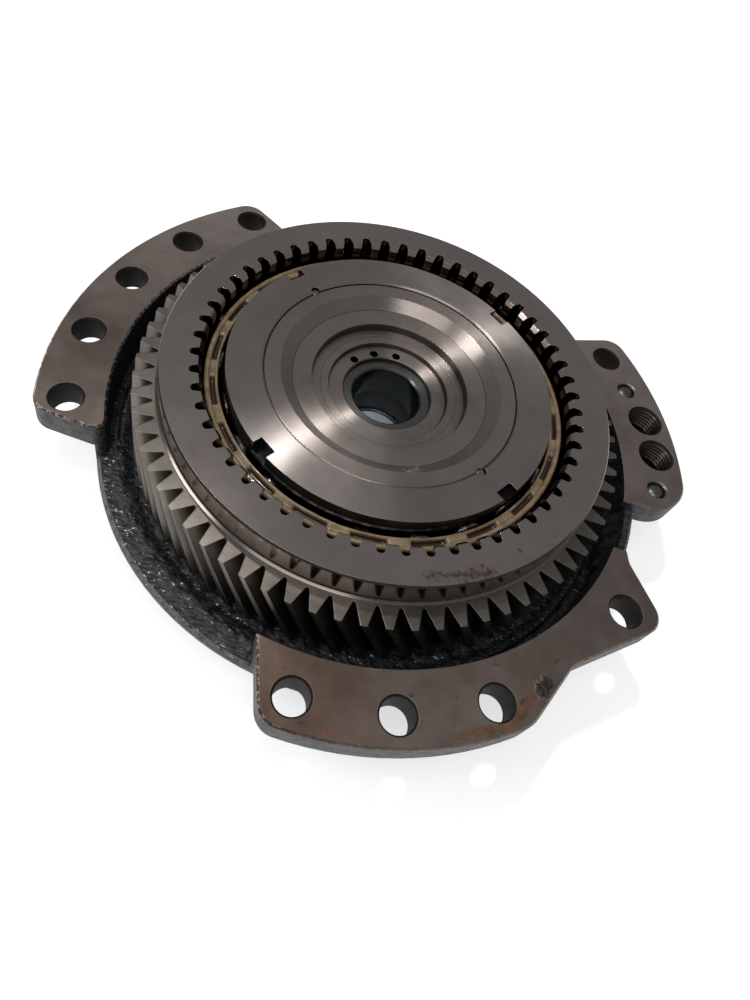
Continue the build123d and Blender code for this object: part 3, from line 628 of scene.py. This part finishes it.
LEDGE_TOP, FLANGE_TOP = 13.4, 16.0
SKIN_IN_R, SKIN_OPEN_R, SKIN_EAR_R = 66.9, 80.5, 75.2
SKIN_CELL = 0.36
SKIN_STEPS_PER_DEG = 3.4
SCORE_COS, SCORE_SIN = 0.88, 0.47  # direction of the scores, close to SCORE_TURN
# lumps of the skin: height, scale along and across the scores, place in the noise
SKIN_LUMPS = ((0.55, 0.22, 0.50, 3.0), (0.50, 0.55, 1.25, 9.0), (0.35, 1.20, 2.60, 5.0))
RIDGE_R = 76.3  # raised line outside the slope from ledge to flange
OPEN_SECTORS = (("left", 205.2, 262.4), ("back", 50.0, 129.0))
EAR_SECTORS = (("left_ear", 129.1, 205.1), ("lower_ear", 262.5, 345.5), ("neck", 345.6, 362.0),
               ("right_ear", 2.1, 49.9))


def cast_patch(name, outer_r, start, end):
    """Closed slab of rough cast skin over the ledge and flange, its lumps and scores as real shape."""
    radial = int((outer_r - SKIN_IN_R) / SKIN_CELL)
    around = int((end - start) * SKIN_STEPS_PER_DEG)
    sections = []
    for i in range(around + 1):
        degrees = start + (end - start) * i / around
        row = []
        for j in range(radial + 1):
            radius = SKIN_IN_R + (outer_r - SKIN_IN_R) * j / radial
            spot = polar(radius, degrees)
            along = spot.x * SCORE_COS - spot.y * SCORE_SIN
            aside = spot.x * SCORE_SIN + spot.y * SCORE_COS
            rise = 0.0
            for size, per_along, per_aside, seed in SKIN_LUMPS:
                rise += size * noise.noise(Vector((along * per_along, aside * per_aside, seed)))
            ridge = 0.45 * math.exp(-((radius - RIDGE_R) / 0.9) ** 2)
            level = LEDGE_TOP + (FLANGE_TOP - LEDGE_TOP) * smoothstep(71.5, 75.2, radius)
            blend = min(1.0, 5.0 * j / radial, 5.0 * (1 - j / radial))
            height = level + 0.12 + (0.45 + rise * 0.8 + ridge) * blend
            row.append(polar(radius * MM, degrees, height * MM))
        foot = [Vector((point.x, point.y, (LEDGE_TOP - 0.5) * MM)) for point in reversed(row)]
        sections.append(row + foot)
    return solid_of_rings(name, sections, closed=False)


cast_iron = casting.data.materials[CAST]
skins = [cast_patch("skin_" + label, SKIN_OPEN_R, start, end) for label, start, end in OPEN_SECTORS]
skins += [cast_patch("skin_" + label, SKIN_EAR_R, start, end) for label, start, end in EAR_SECTORS]
for skin in skins:
    for face in skin.data.polygons:
        face.use_smooth = True
    skin.data.materials.append(cast_iron)
    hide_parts("support_casting")
    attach(skin, "support")


THREAD_WALL_R, THREAD_CREST_R = 5.24 * MM, 4.72 * MM
THREAD_TOP, THREAD_PITCH, THREAD_TURNS = 29.2, 1.25, 6
THREAD_STEPS = 20  # sections to a turn
THREAD_FOOT = 0.46  # half width of the ridge at the wall, as a share of the pitch


def thread(name, centre):
    """Helical thread ridge lining a tapped hole."""
    half = THREAD_FOOT * THREAD_PITCH * MM
    sections = []
    for i in range(THREAD_TURNS * THREAD_STEPS + 1):
        degrees = i * 360.0 / THREAD_STEPS
        z = (THREAD_TOP - THREAD_PITCH * i / THREAD_STEPS) * MM
        sections.append([centre + polar(THREAD_WALL_R, degrees, z + half),
                         centre + polar(THREAD_CREST_R, degrees, z),
                         centre + polar(THREAD_WALL_R, degrees, z - half)])
    return solid_of_rings(name, sections, closed=False)


# the thread's dark colour is painted shade down the tapped hole
thread_steel = plain_steel("thread_steel", (0.05, 0.046, 0.04), (0.11, 0.10, 0.09), 0.36)
for number, degrees in enumerate(TAP_DEGS, 1):
    ridge = thread("tap_thread_%d" % number, polar(TAP_CIRCLE_R, degrees))
    ridge.data.materials.append(thread_steel)
    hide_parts("support_casting")
    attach(ridge, "support")


def lathe(name, centre, profile, steps=32):
    """Closed turned piece from a profile of radius and height that starts and ends on its axis."""
    inner = profile[1:-1]
    points = [centre + polar(r * MM, i * 360.0 / steps, z * MM) for i in range(steps) for r, z in inner]
    bottom, top = len(points), len(points) + 1
    points += [centre + Vector((0, 0, profile[0][1] * MM)), centre + Vector((0, 0, profile[-1][1] * MM))]
    size = len(inner)
    faces = []
    for i in range(steps):
        here, there = i * size, ((i + 1) % steps) * size
        faces += [(here + j, there + j, there + j + 1, here + j + 1) for j in range(size - 1)]
        faces += [(bottom, there, here), (top, here + size - 1, there + size - 1)]
    mesh = bpy.data.meshes.new(name)
    mesh.from_pydata(points, [], faces)
    for face in mesh.polygons:
        face.use_smooth = True
    piece = bpy.data.objects.new(name, mesh)
    bpy.context.collection.objects.link(piece)
    return piece


dowel_steel = plain_steel("dowel_steel", (0.11, 0.11, 0.105), (0.19, 0.19, 0.18), 0.34)
DOME_R, DOME_RISE = 2.92, 1.45
DOWEL_FOOT, DOWEL_SHOULDER = 25.4, 28.6
dome = [(0.0, DOWEL_FOOT), (DOME_R, DOWEL_FOOT), (DOME_R, DOWEL_SHOULDER)]
dome += [(DOME_R * math.cos(a), DOWEL_SHOULDER + DOME_RISE * math.sin(a))
         for a in (0.25, 0.5, 0.75, 1.0, 1.25, 1.45)]
dome += [(0.0, DOWEL_SHOULDER + DOME_RISE)]
for number, degrees in enumerate(DOWEL_DEGS, 1):
    dowel = lathe("dowel_dome_%d" % number, polar(BOLT_CIRCLE_R, degrees), dome)
    dowel.data.materials.append(dowel_steel)
    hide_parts("ear_dowels")
    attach(dowel, "support")


# --- floor, light and camera ------------------------------------------------------------
FLOOR_SIZE = 3.0
FLOOR_DROP = 0.4 * MM  # keeps the floor off the foot's own plane
bpy.ops.mesh.primitive_grid_add(x_subdivisions=8, y_subdivisions=8, size=FLOOR_SIZE)
floor = bpy.context.object
floor.name = "floor"
floor.location.z = -FLOOR_DROP
paper = Mat("floor_paper")
paper.set(Base_Color=paper.mix(paper.noise(30.0, 3.0), (0.86, 0.86, 0.86), (0.88, 0.88, 0.88)))
paper.set(Roughness=0.9, Emission_Color=(1.0, 1.0, 1.0, 1.0), Emission_Strength=0.6)
floor.data.materials.append(paper.mat)

world = bpy.data.worlds.new("room")
bpy.context.scene.world = world
world.use_nodes = True
background = world.node_tree.nodes["Background"]
background.inputs["Color"].default_value = (0.97, 0.98, 1.0, 1.0)
background.inputs["Strength"].default_value = 0.235
LIGHT_AIM = Vector((0, 0, 0.04))  # a point on the gear axis


def area_light(name, azimuth, elevation, distance, size, power, colour=(1.0, 1.0, 1.0)):
    """Square area light that faces LIGHT_AIM from the given direction and distance."""
    a, e = math.radians(azimuth), math.radians(elevation)
    away = Vector((math.cos(e) * math.cos(a), math.cos(e) * math.sin(a), math.sin(e)))
    data = bpy.data.lights.new(name, "AREA")
    data.shape = "RECTANGLE"
    data.size = data.size_y = size
    data.energy = power
    data.color = colour
    lamp = bpy.data.objects.new(name, data)
    lamp.location = away * distance + LIGHT_AIM
    lamp.rotation_euler = away.to_track_quat("Z", "Y").to_euler()
    bpy.context.collection.objects.link(lamp)


area_light("key", 200.0, 42.0, 0.9, 0.32, 1.5)
area_light("lamp", 141.0, 69.0, 1.1, 0.05, 2.4)
area_light("fill", -100.0, 68.0, 1.2, 0.7, 3.0, (1.0, 0.98, 0.96))

# camera: looks down at CAMERA_TILT, rolled about its own line of sight
CAMERA_AT = Vector((-0.00282, -0.14454, 0.20395))
CAMERA_TILT = math.radians(53.69)
CAMERA_ROLL = math.radians(-20.18)
side = Vector((1, 0, 0))
upward = Vector((0, math.sin(CAMERA_TILT), math.cos(CAMERA_TILT)))
ahead = Vector((0, math.cos(CAMERA_TILT), -math.sin(CAMERA_TILT)))
right = math.cos(CAMERA_ROLL) * side - math.sin(CAMERA_ROLL) * upward
up = math.sin(CAMERA_ROLL) * side + math.cos(CAMERA_ROLL) * upward
camera_data = bpy.data.cameras.new("camera")
camera_data.lens = 27.0
camera_data.sensor_width = 36.0
camera_data.shift_x = 0.0198
camera_data.shift_y = -0.0485
camera_data.clip_start = 0.005
camera = bpy.data.objects.new("camera", camera_data)
turn = Matrix((right, up, -ahead)).transposed().to_4x4()
camera.matrix_world = Matrix.Translation(CAMERA_AT) @ turn
bpy.context.collection.objects.link(camera)
bpy.context.scene.camera = camera
bpy.context.scene.view_settings.view_transform = "Standard"
